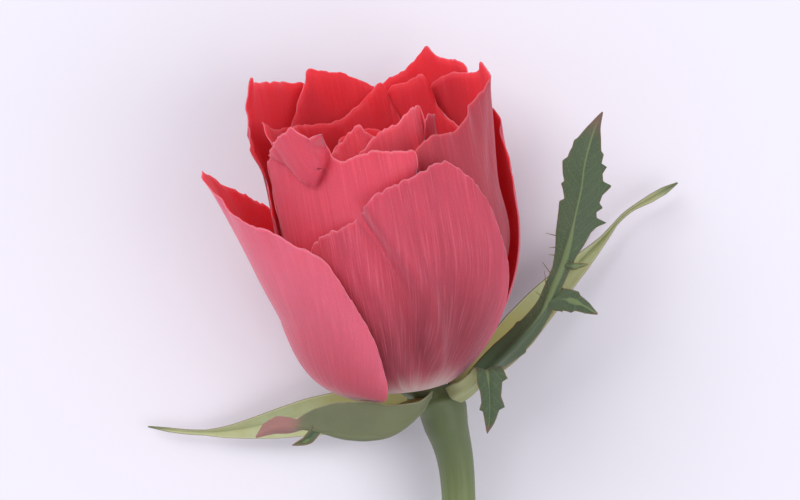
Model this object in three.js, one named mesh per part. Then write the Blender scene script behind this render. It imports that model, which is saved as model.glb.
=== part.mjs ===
// A cut rose: a half-open bud of separate petals on a bare stem, lying down on a flat surface.
// Millimetres. The bud points to +Y, the stem to -Y, and +Z is up from the surface.
import * as THREE from 'three';

// ---------------------------------------------------------------- driving dimensions
const BUD_WIDTH = 36; // across the outer petals
const BUD_HEIGHT = 47; // from the foot of the petals to the highest tips
const BUD_LEAN = 12; // degrees, to the left of straight up the stem
const BUD_LIFT = 15; // degrees, the mouth of the bud above the surface
const PETAL_THICKNESS = 0.35;
const BELLY_HEIGHT = 24; // where a petal stands widest
const SEPAL_THICKNESS = 0.45;
const HIP_RADIUS = 3.9;
const HIP_SHIFT = 0.9; // the hip sits this far to the right of the bud's axis
const STEM_LENGTH = 104;
const STEM_RADIUS = 2.35;
const CUT_SLANT = 0.7; // slope of the cut at the stem's end
const GAP = 0.3; // clearance between separate pieces

// The petals are laid out on a bud 36 wide and 47 high, and scaled from there.
const WIDE = BUD_WIDTH / 36;
const HIGH = BUD_HEIGHT / 47;

// ---------------------------------------------------------------- the bud's own frame
const radians = THREE.MathUtils.degToRad;
const clamp = THREE.MathUtils.clamp;
const lean = radians(BUD_LEAN);
const lift = radians(BUD_LIFT);
const UP = new THREE.Vector3(
  -Math.sin(lean) * Math.cos(lift),
  Math.cos(lean) * Math.cos(lift),
  Math.sin(lift),
);
const RIGHT = new THREE.Vector3(Math.cos(lean), Math.sin(lean), 0);
const FRONT = new THREE.Vector3().crossVectors(RIGHT, UP);

// A point given to the bud's right, to its front (away from the surface) and along its axis.
function budPoint(right, front, up) {
  return new THREE.Vector3()
    .addScaledVector(RIGHT, right * WIDE)
    .addScaledVector(FRONT, front * WIDE)
    .addScaledVector(UP, up * HIGH);
}

// ---------------------------------------------------------------- sheets and tubes
// Faces between rings of points, each ring closed on itself.
function sides(rings) {
  const count = rings[0].length;
  const index = [];
  for (let i = 0; i + 1 < rings.length; i++) {
    for (let j = 0; j < count; j++) {
      const a = i * count + j;
      const b = i * count + ((j + 1) % count);
      index.push(a, b, b + count, a, b + count, a + count);
    }
  }
  return index;
}

// The geometry of a closed skin, its faces turned round when they enclose a negative volume.
function outward(rings, index) {
  const position = rings.flat().flatMap((p) => p.toArray());
  const corner = (k) => new THREE.Vector3().fromArray(position, 3 * index[k]);
  let volume = 0;
  for (let k = 0; k < index.length; k += 3) {
    volume += corner(k).dot(corner(k + 1).cross(corner(k + 2)));
  }
  const geometry = new THREE.BufferGeometry();
  geometry.setAttribute('position', new THREE.Float32BufferAttribute(position, 3));
  geometry.setIndex(volume < 0 ? index.slice().reverse() : index);
  geometry.computeVertexNormals();
  return geometry;
}

// The unit normal of a grid of points at row i, column j.
function gridNormal(grid, i, j) {
  const row = (k) => grid[clamp(k, 0, grid.length - 1)];
  const point = (k) => grid[i][clamp(k, 0, grid[i].length - 1)];
  const along = row(i + 1)[j].clone().sub(row(i - 1)[j]);
  const across = point(j + 1).clone().sub(point(j - 1));
  return along.cross(across).normalize();
}

// A sheet of even thickness around a grid of points: one ring round each row of the grid,
// and a flat strip to close each end.
function sheet(grid, thickness) {
  const rings = grid.map((row, i) => {
    const normals = row.map((_, j) => gridNormal(grid, i, j));
    const face = (out) => row.map((p, j) => p.clone().addScaledVector(normals[j], out));
    return [...face(thickness / 2), ...face(-thickness / 2).reverse()];
  });
  const index = sides(rings);
  const count = rings[0].length;
  const last = (rings.length - 1) * count;
  for (let j = 0; j + 1 < count / 2; j++) {
    const far = count - 1 - j;
    index.push(j, far, far - 1, j, far - 1, j + 1);
    index.push(last + j, last + far - 1, last + far, last + j, last + j + 1, last + far - 1);
  }
  return outward(rings, index);
}

// A tube through rings of points, closed by a fan at each end.
function tube(rings) {
  const index = sides(rings);
  const count = rings[0].length;
  const last = (rings.length - 1) * count;
  for (let j = 1; j + 1 < count; j++) {
    index.push(0, j + 1, j, last, last + j, last + j + 1);
  }
  return outward(rings, index);
}

// ---------------------------------------------------------------- petals
// The bud's axis sags a little to the left just above the foot of the petals.
const sag = (h) => 3 * (h / 5) * Math.exp(1 - h / 5);

// Radius of the petal layer that stands `layer` mm from the axis, at height h.
function cup(layer, h) {
  const foot = claw(layer);
  const x = clamp((h - foot.height) / (BELLY_HEIGHT - foot.height), 0, 1);
  const open = foot.radius + (layer - foot.radius) * Math.sqrt(2 * x - x * x);
  const above = Math.max(h - BELLY_HEIGHT, 0) / BELLY_HEIGHT;
  return open * (1 - 0.05 * above * above);
}

// Where a petal layer joins the tapering core of the bud: inner layers join it higher up.
function claw(layer) {
  return { radius: 1 + 0.176 * layer, height: 1 + 0.81 * (19.5 - layer) };
}

function smooth(x) {
  const t = clamp(x, 0, 1);
  return t * t * (3 - 2 * t);
}

// A smooth curve through the listed pairs; `at` counts pairs.
function through(list, at) {
  const i = Math.min(Math.floor(at), list.length - 2);
  const w = at - i;
  const pick = (k) => list[clamp(k, 0, list.length - 1)];
  return [0, 1].map((c) => {
    const [p, q, r, s] = [i - 1, i, i + 1, i + 2].map((k) => pick(k)[c]);
    const [start, end] = [(r - p) / 2, (s - q) / 2];
    const cubic = 2 * q - 2 * r + start + end;
    const square = 3 * r - 3 * q - 2 * start - end;
    return ((cubic * w + square) * w + start) * w + q;
  });
}

// Columns of a petal, one at each listed margin point, with one more inside a wide step.
function margin(outline) {
  const columns = [];
  for (let i = 0; i + 1 < outline.length; i++) {
    columns.push(outline[i]);
    if (Math.abs(outline[i + 1][0] - outline[i][0]) > 12) columns.push(through(outline, i + 0.5));
  }
  columns.push(outline.at(-1));
  return columns;
}

// One petal. Angles run round the bud from its front, positive to the right.
// layer: distance from the axis; spiral: mm gained over 60 degrees away from `middle`;
// rise: mm that its claw joins above the layer's own place; flare: mm the tip leans outwards;
// outline: margin as [angle, height], from side to side.
function petal(shape) {
  const { claw: root, neck = 0.35, rise = 0, layer, spiral = 0, middle = 0, flare } = shape;
  const rows = 10;
  const grid = margin(shape.outline).map(([angle, top]) => {
    const column = [];
    for (let k = 0; k <= rows; k++) {
      const t = k / rows;
      const fan = neck + (1 - neck) * Math.sin((Math.PI / 2) * t) ** 0.9;
      const a = root + (angle - root) * fan;
      const own = layer + spiral * clamp((a - middle) / 60, -1, 1);
      const foot = claw(own).height + rise * (1 - t);
      const h = foot + (top - foot) * t * t;
      const r = cup(own, h) + (flare ? leaning(flare, a, h) : 0);
      const turn = radians(a);
      column.push(budPoint(r * Math.sin(turn) - sag(h), r * Math.cos(turn), h));
    }
    return column;
  });
  return sheet(grid, PETAL_THICKNESS);
}

// How far a petal leans out, most at one angle and above one height.
function leaning({ angle, width, reach, from, over }, a, h) {
  const side = smooth(1 - Math.abs(a - angle) / width);
  return reach * side * (Math.max(h - from, 0) / over) ** 1.15;
}

// The petals, from the outside in.
const PETALS = {
  left: {
    claw: -68, neck: 0.4, rise: 1.3, layer: 18.8,
    flare: { angle: -86, width: 80, reach: 6.2, from: 16, over: 22 },
    outline: [
      [-148, 8], [-150, 15], [-142, 22], [-126, 28], [-110, 33], [-97, 37], [-89, 38.8],
      [-82, 38], [-72, 34.6], [-62, 32.6], [-52, 31.4], [-41, 28.9], [-32.5, 26.8], [-25, 21.3],
      [-17.5, 15], [-14.5, 10.8], [-13, 7.5],
    ],
  },
  front: {
    claw: 2, neck: 0.45, layer: 17.7, spiral: 0.6, middle: 20,
    outline: [
      [-50, 9], [-52, 18], [-48, 25], [-43, 28.2], [-33, 30], [-26, 30.5], [-19, 31.3],
      [-14.5, 32.2], [-10.5, 33.9], [-7, 34.7], [-3, 35], [5, 35.6], [15, 36.3], [22, 36.8],
      [28, 36.6], [34, 34.8], [41, 32], [47, 28], [51.5, 23], [56, 18], [60, 11],
    ],
  },
  right: {
    claw: 112, neck: 0.4, layer: 17.3,
    outline: [
      [68, 10], [76, 17], [84, 23], [89, 29], [92, 33.5], [95, 36], [100, 37.4], [107, 38.4],
      [118, 39.4], [138, 38], [152, 33], [158, 23], [154, 12],
    ],
  },
  back: {
    claw: 176, neck: 0.4, layer: 18.5, spiral: -0.85, middle: 176,
    outline: [
      [132, 12], [126, 22], [132, 30], [150, 36], [168, 38.5], [182, 39], [196, 37.5], [210, 33],
      [220, 26], [222, 18], [216, 10],
    ],
  },
  crest: {
    claw: -28, layer: 16, spiral: -0.2,
    outline: [
      [-66, 14], [-70, 22], [-74, 29], [-78, 35], [-77, 38.4], [-71, 39.8], [-62, 41],
      [-55, 42.2], [-48, 43.4], [-42, 44.6], [-37.5, 45.2], [-35, 46.2], [-32.8, 44.8],
      [-31, 44.1], [-29.3, 43.9], [-28, 41.5], [-24, 39.9], [-18, 39.6], [-11, 40.1], [-3, 40.2],
      [6, 39.5], [16, 38.8], [14, 35], [10, 29], [6, 21], [4, 14],
    ],
  },
  cheek: {
    claw: 76, layer: 15,
    flare: { angle: 90, width: 32, reach: 2.3, from: 28, over: 15 },
    outline: [
      [2, 18], [4, 28], [8, 34], [17, 38.4], [27, 39.9], [37, 39.6], [45, 39.3], [53, 40.2],
      [60, 41.4], [70, 42.2], [80, 42.9], [88, 43.8], [95, 44.6], [100, 45.3], [104, 43.9],
      [112, 43.4], [122, 43.5], [136, 42.5], [143, 41.4], [150, 38], [158, 32], [160, 24],
      [152, 15],
    ],
  },
  left_back: {
    claw: -112, neck: 0.3, layer: 16.6, spiral: 0.3, middle: -128,
    outline: [
      [-76, 15], [-78, 24], [-78, 31], [-82, 36.5], [-86, 40], [-82, 42.5], [-87, 45.5],
      [-90, 48], [-93, 50.2], [-99, 48.9], [-109, 48.4], [-125, 47.3], [-139, 46], [-150, 44.5],
      [-162, 38], [-168, 30], [-166, 20], [-158, 12],
    ],
  },
  top_right: {
    claw: 146, layer: 16.3, spiral: -0.4, middle: 120,
    outline: [
      [124, 16], [119, 26], [117, 36], [117, 42.4], [119, 44.2], [124, 44.9], [136, 45.4],
      [143, 47], [154, 44.7], [163, 43.4], [172, 42.4], [182, 38], [188, 29], [186, 17],
    ],
  },
  top_left: {
    claw: -162, layer: 14.5,
    outline: [
      [-116, 17], [-112, 27], [-118, 36], [-128, 41], [-137, 44.4], [-142, 45.6], [-147, 47.4],
      [-157, 46.4], [-167, 45.5], [-175, 44], [-184, 42.3], [-194, 38], [-200, 30], [-198, 19],
    ],
  },
  inner_left: {
    claw: -110, layer: 13.6, spiral: 0.4, middle: -110,
    flare: { angle: -88, width: 36, reach: 2, from: 34, over: 10 },
    outline: [
      [-66, 18], [-64, 28], [-66, 36], [-70, 40], [-78, 42], [-88, 44], [-101, 42], [-112, 41.2],
      [-126, 40.6], [-146, 38], [-160, 34], [-166, 26], [-160, 16],
    ],
  },
  inner_right: {
    claw: 142, layer: 12.8,
    outline: [
      [94, 20], [92, 29], [102, 34], [118, 36.4], [130, 37.6], [135, 39.2], [137, 41],
      [140, 43.8], [153, 42.8], [167, 42], [178, 37], [184, 28], [180, 18],
    ],
  },
  inner_back: {
    claw: -172, layer: 11.8,
    outline: [
      [-96, 20], [-88, 30], [-90, 40], [-104, 41.6], [-132, 40.3], [-154, 39.5], [-172, 41],
      [-189, 43.4], [-193, 40.8], [-198, 37.5], [-205, 30], [-203, 19],
    ],
  },
  heart_front: {
    claw: 2, layer: 10.2,
    outline: [
      [-60, 20], [-58, 29], [-48, 34.5], [-26, 38], [-14, 39.2], [-7, 40.3], [1, 41.2],
      [8, 41.7], [15, 41.8], [22, 42.5], [28, 43.2], [31, 43.4], [38, 43], [45, 42.9],
      [44, 40.8], [40, 38], [36, 33], [34, 26], [32, 20],
    ],
  },
  heart_left: {
    claw: -35, layer: 9.1,
    outline: [
      [-100, 20], [-98, 29], [-84, 34], [-60, 37.4], [-46, 39], [-37, 40], [-16, 42.6],
      [-9, 41.2], [-2, 40.5], [10, 40.5], [24, 39], [34, 33], [38, 22],
    ],
  },
  heart_right: {
    claw: 90, layer: 8,
    outline: [
      [20, 20], [18, 30], [34, 36], [60, 40.5], [84, 40], [110, 39], [136, 37], [152, 32],
      [160, 24], [158, 18],
    ],
  },
  heart_back: {
    claw: -140, layer: 6.8,
    outline: [
      [-226, 20], [-222, 30], [-200, 36], [-165, 38.5], [-130, 38], [-95, 36.5], [-75, 31],
      [-72, 20],
    ],
  },
  core_front: {
    claw: -5, neck: 0.4, layer: 5.4,
    outline: [
      [-90, 20], [-88, 29], [-60, 35], [-20, 37], [20, 36.5], [60, 34], [84, 28], [86, 20],
    ],
  },
  core_back: {
    claw: 175, neck: 0.4, layer: 4.1,
    outline: [
      [85, 20], [88, 28], [120, 34], [160, 36], [200, 35.5], [240, 33], [264, 27], [266, 20],
    ],
  },
};

// ---------------------------------------------------------------- sepals
// How far sepal spines move out from the axis: they are listed for a hip 3.9 in radius, with
// their bases a clearance of 0.3 from it.
const SEAT = HIP_RADIUS + GAP - 4.2;

// The value at share t of a list of [share, value...] rows, for one of the values.
function listed(rows, t, which) {
  const k = clamp(rows.findIndex((row) => row[0] >= t), 1, rows.length - 1);
  const w = (t - rows[k - 1][0]) / (rows[k][0] - rows[k - 1][0]);
  return rows[k - 1][which] + w * (rows[k][which] - rows[k - 1][which]);
}

// One leaf-like blade along a spine of bud points. left and right: half widths by share of its
// length; folds: degrees that each half is folded up; side: the direction of the right margin
// at the base and past the share `turned`.
function blade({ spine, side, turned, folds, left, right }) {
  const base = budPoint(spine[0][0], spine[0][1], 0);
  const seat = base.setLength(SEAT);
  const curve = new THREE.CatmullRomCurve3(spine.map((p) => budPoint(...p).add(seat)));
  const sides = side.map((s) => budPoint(...s).normalize());
  const shares = [...new Set([...left, ...right].map((row) => row[0]))].sort((a, b) => a - b);
  const grid = shares.map((t) => {
    const centre = curve.getPointAt(t);
    const along = curve.getTangentAt(t);
    const across = sides[0].clone().lerp(sides[1], smooth(t / turned));
    across.addScaledVector(along, -across.dot(along)).normalize();
    const inner = new THREE.Vector3().crossVectors(along, across);
    return [-1, -0.5, 0, 0.5, 1].map((share) => {
      const v = share * (share < 0 ? listed(left, t, 1) : listed(right, t, 1));
      const fold = radians(listed(folds, t, share < 0 ? 1 : 2));
      return centre
        .clone()
        .addScaledVector(across, v * Math.cos(fold))
        .addScaledVector(inner, Math.abs(v) * Math.sin(fold));
    });
  });
  return sheet(grid, SEPAL_THICKNESS);
}

// The calyx: five sepals, spread below the bud. Only one has grown leafy.
const SEPALS = {
  leafy: {
    spine: [
      [5.1, 0.7, -1.1], [8.6, 2, 2.5], [13.2, 3.6, 6], [17.3, 4.3, 9.6], [19.9, 4.2, 13.2],
      [21.6, 3.7, 15.7], [23.4, 3.2, 19.1], [24.8, 2.3, 22.2], [26.3, 1.5, 25.4],
      [27.6, 0.6, 28.8], [29.6, -0.9, 32.4], [31.5, -2, 34.7],
    ],
    side: [[0.28, -0.77, -0.59], [0.79, 0.07, -0.63]],
    turned: 0.26,
    folds: [[0, 15, 15], [0.3, 25, 25], [0.6, 12, 12], [1, 8, 8]],
    left: [
      [0, 1.8], [0.1, 2], [0.2, 2.1], [0.28, 1.9], [0.3, 2], [0.31, 1.7], [0.36, 1.5],
      [0.41, 1.3], [0.51, 1.3], [0.57, 1.7], [0.62, 2.2], [0.68, 2.4], [0.71, 2.6], [0.72, 2],
      [0.75, 2.5], [0.77, 2.9], [0.78, 2.5], [0.8, 2.8], [0.83, 3.1], [0.84, 2.5], [0.86, 2.4],
      [0.88, 2.2], [0.9, 2.2], [0.91, 1.8], [0.93, 1.3], [0.96, 0.7], [1, 0.15],
    ],
    right: [
      [0, 1.8], [0.1, 2.1], [0.2, 2.2], [0.24, 2.4], [0.25, 2], [0.31, 1.9], [0.36, 1.5],
      [0.41, 1.2], [0.51, 1.2], [0.56, 1.5], [0.6, 2.2], [0.64, 2.8], [0.66, 3.5], [0.68, 4.9],
      [0.69, 3.2], [0.7, 3], [0.72, 3.8], [0.73, 3.1], [0.76, 3.3], [0.78, 4.5], [0.79, 3.1],
      [0.81, 2.9], [0.84, 3.4], [0.85, 2.5], [0.88, 2.5], [0.89, 2], [0.93, 1.4], [0.95, 0.8],
      [1, 0.15],
    ],
  },
  back_right: {
    spine: [
      [3.8, -2.9, -1.1], [9, -6.8, 0.6], [14.4, -9.4, 4.4], [21.5, -11.8, 9.1],
      [28.5, -13.4, 13.3], [32.8, -14.2, 16.2], [36.9, -14.6, 17.6], [41.3, -14.7, 18.9],
    ],
    side: [[-0.36, -0.76, 0.51], [-0.6, -0.11, 0.79]],
    turned: 0.3,
    folds: [[0, 15, 15], [0.4, 20, 30], [0.7, 10, 60], [1, 10, 10]],
    left: [
      [0, 2], [0.12, 2.6], [0.3, 3], [0.45, 2.6], [0.6, 1.7], [0.7, 0.8], [0.76, 0.35],
      [0.84, 0.35], [0.9, 0.6], [0.95, 0.55], [1, 0.15],
    ],
    right: [
      [0, 2], [0.12, 2.6], [0.3, 3], [0.45, 2.6], [0.6, 1.7], [0.7, 0.8], [0.76, 0.35],
      [0.84, 0.35], [0.9, 0.6], [0.95, 0.55], [1, 0.15],
    ],
  },
  front_left: {
    spine: [
      [-0.8, 4.7, 0.3], [-3.4, 7, -0.8], [-6.7, 9.5, -1.4], [-10, 10.4, -1], [-13, 10.4, -0.3],
      [-15.3, 10, 0.6], [-17.8, 9.3, 1.5], [-19.8, 8.8, 2], [-22.6, 8.2, 2.3], [-25.6, 7.9, 1.6],
    ],
    side: [[0.75, -0.07, 0.66], [0.26, -0.11, 0.97]],
    turned: 0.3,
    folds: [[0, 50, 15], [0.2, 100, 10], [0.5, 120, 5], [0.7, 100, 10], [0.85, 20, 10], [1, 10, 10]],
    left: [
      [0, 1.8], [0.12, 3.4], [0.3, 4.4], [0.45, 4.2], [0.6, 3.2], [0.68, 1], [0.76, 1],
      [0.82, 1.1], [0.88, 0.9], [0.94, 0.5], [1, 0.15],
    ],
    right: [
      [0, 1.5], [0.12, 1.9], [0.22, 2.75], [0.34, 4.15], [0.45, 4.75], [0.56, 4.55],
      [0.63, 4.05], [0.66, 3.9], [0.72, 2.9], [0.76, 2.1], [0.79, 1.2], [0.83, 1.4], [0.88, 1.7],
      [0.9, 1.5], [0.94, 1.2], [1, 0.15],
    ],
  },
  back_left: {
    spine: [
      [-2.6, -3.6, -1.3], [-5.7, -6, -2.4], [-12.3, -8.5, -2.3], [-19, -9.5, -2.4],
      [-25.4, -10, -2.6], [-30.9, -10.3, -2.4], [-35.9, -10.8, -1.5], [-41.8, -11.4, 0.3],
    ],
    side: [[-0.5, -0.57, -0.57], [-0.39, -0.01, -0.92]],
    turned: 0.3,
    folds: [[0, 15, 15], [1, 12, 12]],
    left: [
      [0, 2], [0.12, 2.6], [0.28, 3.1], [0.42, 3], [0.56, 2.2], [0.7, 1.1], [0.8, 0.4],
      [0.93, 0.3], [1, 0.15],
    ],
    right: [
      [0, 2], [0.12, 2.6], [0.28, 3.1], [0.42, 3], [0.56, 2.2], [0.7, 1.1], [0.8, 0.4],
      [0.93, 0.3], [1, 0.15],
    ],
  },
  folded: {
    spine: [
      [2.6, 3.6, -0.2], [4.8, 6.8, 1.8], [6.7, 8.6, 3.7], [7.6, 9.3, 4.6], [8, 10.2, 4.8],
      [7.9, 10.9, 3.6], [7.5, 11.2, 0.9], [7, 11.2, -1.7], [6.2, 11.1, -4],
    ],
    side: [[0.54, 0.02, -0.85], [0.99, 0.04, -0.15]],
    turned: 0.4,
    folds: [[0, 20, 20], [0.4, 5, 5], [0.5, 5, 5], [1, -15, -15]],
    left: [
      [0, 1.7], [0.15, 1.7], [0.3, 1.6], [0.42, 1.5], [0.52, 1.5], [0.62, 1.6], [0.68, 1.3],
      [0.76, 1.2], [0.82, 1.5], [0.83, 1], [0.92, 0.6], [1, 0.15],
    ],
    right: [
      [0, 1.7], [0.15, 1.7], [0.3, 1.6], [0.42, 1.5], [0.5, 1.9], [0.6, 2.7], [0.62, 1.9],
      [0.72, 1.6], [0.8, 2.1], [0.82, 1.3], [0.92, 0.7], [1, 0.15],
    ],
  },
};

// ---------------------------------------------------------------- stem, hip and core
// One grown piece: the stem lies down from the hip, the hip carries the calyx, and the core
// inside the bud carries the petals. Heights are from the foot of the petals; the hip's widths
// are shares of its radius.
const HIP = [[-5, 0.82], [-3, 0.88], [-1.4, 0.95], [-0.7, 1], [-0.2, 0.98]];
const CORE = [[0.2, 3.3], [3, 2.8], [6, 2.2], [9, 1.6], [12, 1], [14, 0.5]];
const STEM_SIDES = 16;

function ring(centre, along, radius, slant) {
  const across = new THREE.Vector3(0, 0, 1).cross(along).normalize();
  const over = new THREE.Vector3().crossVectors(along, across);
  return Array.from({ length: STEM_SIDES }, (_, k) => {
    const turn = (2 * Math.PI * k) / STEM_SIDES;
    return centre
      .clone()
      .addScaledVector(across, radius * Math.cos(turn))
      .addScaledVector(over, radius * Math.sin(turn))
      .addScaledVector(along, radius * slant * Math.sin(turn));
  });
}

// The stem's line, from the cut end to the hip; `low` is the height of the surface below the
// foot of the petals.
function stemLine(low) {
  const lying = -low + STEM_RADIUS;
  return new THREE.CatmullRomCurve3([
    new THREE.Vector3(5.5, -STEM_LENGTH, lying),
    new THREE.Vector3(5.6, -0.75 * STEM_LENGTH, lying + 0.3),
    new THREE.Vector3(5, -0.5 * STEM_LENGTH, lying + 1.2),
    new THREE.Vector3(4.4, -0.3 * STEM_LENGTH, lying + 2.8),
    new THREE.Vector3(3.8, -16, lying + 5.4),
    new THREE.Vector3(3.2, -9.5, lying + 7.2),
    budPoint(HIP_SHIFT / WIDE, 0, -5 / HIGH),
  ]);
}

function stem(low) {
  const line = stemLine(low);
  const steps = 22;
  const rings = [];
  for (let k = 0; k < steps; k++) {
    const t = k / steps;
    const slant = k === 0 ? CUT_SLANT : 0;
    rings.push(ring(line.getPointAt(t), line.getTangentAt(t), STEM_RADIUS + 0.6 * t ** 8, slant));
  }
  for (const [h, share] of HIP) {
    const centre = budPoint((HIP_SHIFT * smooth(-h / 3)) / WIDE, 0, h / HIGH);
    rings.push(ring(centre, UP, share * HIP_RADIUS, 0));
  }
  for (const [h, radius] of CORE) {
    rings.push(ring(budPoint(-sag(h), 0, h), UP, radius * WIDE, 0));
  }
  return tube(rings);
}

// ---------------------------------------------------------------- the rose
const flower = new THREE.Group();
flower.name = 'cut_rose';

function add(name, geometry, colour, roughness) {
  const material = new THREE.MeshStandardMaterial({ color: colour, roughness, metalness: 0 });
  const mesh = new THREE.Mesh(geometry, material);
  mesh.name = name;
  flower.add(mesh);
}

for (const [name, spec] of Object.entries(PETALS)) {
  add(`petal_${name}`, petal(spec), '#cf5868', 0.6);
}
const petalBox = new THREE.Box3().setFromObject(flower);
for (const [name, spec] of Object.entries(SEPALS)) {
  add(`sepal_${name}`, blade(spec), '#66754c', 0.7);
}
add('stem', stem(-petalBox.min.z), '#73814f', 0.55);

// The origin is on the surface, under the middle of the whole cut flower.
const box = new THREE.Box3().setFromObject(flower);
const centre = box.getCenter(new THREE.Vector3());
for (const mesh of flower.children) mesh.geometry.translate(-centre.x, -centre.y, -box.min.z);

export default flower;
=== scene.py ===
# %% [markdown]
# # A cut rose, lying down
# A petal is one thin sheet that grows from a narrow claw and spreads into a broad blade. Each
# one here starts as a flat grid, and a few rules turn its two grid shares into a place on the
# bud. All petals share the rules and differ in their layer, so they nest without touching.

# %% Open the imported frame
import math

import bpy
import numpy as np
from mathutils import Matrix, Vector


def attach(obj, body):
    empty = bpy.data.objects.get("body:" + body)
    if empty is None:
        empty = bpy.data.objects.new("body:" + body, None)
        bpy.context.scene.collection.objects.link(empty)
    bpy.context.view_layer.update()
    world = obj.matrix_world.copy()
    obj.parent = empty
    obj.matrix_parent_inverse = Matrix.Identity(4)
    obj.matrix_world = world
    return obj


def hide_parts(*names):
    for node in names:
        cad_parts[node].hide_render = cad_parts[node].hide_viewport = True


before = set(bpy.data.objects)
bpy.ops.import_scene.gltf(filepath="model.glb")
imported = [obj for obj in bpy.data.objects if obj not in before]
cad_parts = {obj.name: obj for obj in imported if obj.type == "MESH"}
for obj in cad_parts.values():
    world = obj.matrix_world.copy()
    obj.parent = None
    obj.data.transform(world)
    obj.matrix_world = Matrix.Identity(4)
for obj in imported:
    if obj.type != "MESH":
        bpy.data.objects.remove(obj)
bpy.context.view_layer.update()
MM = 0.001
print("nodes in the frame:", len(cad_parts))

# %% [markdown]
# ## The bud's own axes
# The bud leans to the left and its mouth is lifted from the surface. Its axis, its right and
# its front make a small frame of their own, so petals are described round the bud. The frame's
# origin is the foot of the petals, which is found from the core at the top of the stem.

# %% Find the foot of the petals
LEAN = math.radians(12)
LIFT = math.radians(15)
CORE_TOP = 14.0
UP = np.array([
    -math.sin(LEAN) * math.cos(LIFT),
    math.cos(LEAN) * math.cos(LIFT),
    math.sin(LIFT),
])
RIGHT = np.array([math.cos(LEAN), math.sin(LEAN), 0.0])
FRONT = np.cross(RIGHT, UP)


def sag(h):
    """How far the axis sags to the left at height h, just above the foot."""
    return 3.0 * (h / 5.0) * np.exp(1.0 - h / 5.0)


def vertices_mm(obj):
    """All vertices of an object, in millimetres."""
    co = np.zeros(3 * len(obj.data.vertices))
    obj.data.vertices.foreach_get("co", co)
    return co.reshape(-1, 3) / MM


stem_points = vertices_mm(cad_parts["stem"])
along_axis = stem_points @ UP
core_tip = stem_points[along_axis > along_axis.max() - 0.01].mean(axis=0)
FOOT = core_tip + sag(CORE_TOP) * RIGHT - CORE_TOP * UP
print("foot of the petals, mm:", FOOT.round(2))


def bud(right, front, up):
    """Bud coordinates to the row frame, in mm, for single numbers or arrays."""
    return (FOOT + np.multiply.outer(right, RIGHT) + np.multiply.outer(front, FRONT)
            + np.multiply.outer(up, UP))


# %% [markdown]
# ## The shape of a layer
# A petal rises from its claw like a cup and stands nearly straight above the belly. The layer
# number is its distance from the axis in millimetres. Inner layers join the core higher up.

# %% Cup, claw and margin
BELLY = 24.0


def smooth(x):
    """A soft step from 0 to 1."""
    t = np.clip(x, 0, 1)
    return t * t * (3 - 2 * t)


def claw(layer):
    """Radius and height at which a layer joins the core."""
    return 1 + 0.176 * layer, 1 + 0.81 * (19.5 - layer)


def cup(layer, h):
    """Distance of a layer from the axis at height h."""
    radius, height = claw(layer)
    x = np.clip((h - height) / (BELLY - height), 0, 1)
    above = np.maximum(h - BELLY, 0) / BELLY
    opened = radius + (layer - radius) * np.sqrt(2 * x - x * x)
    return opened * (1 - 0.05 * above ** 2)


def through(points, at):
    """A smooth curve through listed points; `at` runs from 0 to 1 along the list."""
    points = np.asarray(points, float)
    last = len(points) - 1
    place = np.clip(at, 0, 1) * last
    i = np.minimum(place.astype(int), last - 1)
    w = (place - i)[:, None]
    p, q, r, s = (points[np.clip(i + k, 0, last)] for k in (-1, 0, 1, 2))
    start, end = (r - p) / 2, (s - q) / 2
    cubic = 2 * q - 2 * r + start + end
    square = 3 * r - 3 * q - 2 * start - end
    return ((cubic * w + square) * w + start) * w + q


def wave(x, period, seed):
    """An uneven wave between about -1 and 1, with crests near `period` apart."""
    k = 2 * math.pi / period
    return (np.sin(k * x + seed) + 0.6 * np.sin(1.7 * k * x + 2.1 * seed)
            + 0.4 * np.sin(2.9 * k * x + 3.7 * seed)) / 1.6


print("outer petals at the belly, mm:", round(float(cup(18.8, BELLY)), 1))

# %% [markdown]
# ## From a flat grid to a closed sheet
# A grid primitive is added, its vertices are moved to where the rules put them, and Solidify
# gives it a thickness that thins towards the margin. Solidify's new face is the inner skin, and
# it takes the next material in the list, so a petal can be pink outside and red inside. Three
# numbers are kept at each vertex for the materials: mm across, mm along and mm to the margin.

# %% Sheets


def flat_grid(name, across, along):
    """A new grid one unit square, with its vertices' shares across and along."""
    bpy.ops.object.select_all(action="DESELECT")
    bpy.ops.mesh.primitive_grid_add(x_subdivisions=across, y_subdivisions=along, size=1)
    obj = bpy.context.object
    obj.name = obj.data.name = name
    co = np.zeros(3 * len(obj.data.vertices))
    obj.data.vertices.foreach_get("co", co)
    share = co.reshape(-1, 3)[:, :2] + 0.5
    return obj, share[:, 0], share[:, 1]


def apply(obj, kind, **settings):
    """Adds a modifier with its settings and applies it."""
    modifier = obj.modifiers.new(kind, kind)
    for key, value in settings.items():
        setattr(modifier, key, value)
    bpy.context.view_layer.objects.active = obj
    bpy.ops.object.modifier_apply(modifier=modifier.name)


def store(obj, name, values):
    """Keeps one number or one vector for each vertex, for the materials."""
    kind, key = ("FLOAT", "value") if values.ndim == 1 else ("FLOAT_VECTOR", "vector")
    layer = obj.data.attributes.new(name, kind, "POINT")
    layer.data.foreach_set(key, values.astype(np.float32).ravel())


def finish_sheet(obj, points, place, share, thickness, thin):
    """Bends a flat grid to its points and gives it a thickness that thins to the margin."""
    obj.location = (0, 0, 0)
    obj.data.vertices.foreach_set("co", (points * MM).ravel())
    store(obj, "place", place)
    store(obj, "share", share)
    group = obj.vertex_groups.new(name="thickness")
    levels = np.round(1 - (1 - thin) * np.exp(-place[:, 2] / 0.8), 2)
    for level in np.unique(levels):
        group.add(np.flatnonzero(levels == level).tolist(), float(level), "REPLACE")
    apply(obj, "SOLIDIFY", thickness=thickness * MM, offset=0, material_offset=1,
          vertex_group="thickness", use_quality_normals=True)
    obj.vertex_groups.clear()
    for face in obj.data.polygons:
        face.use_smooth = True


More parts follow.
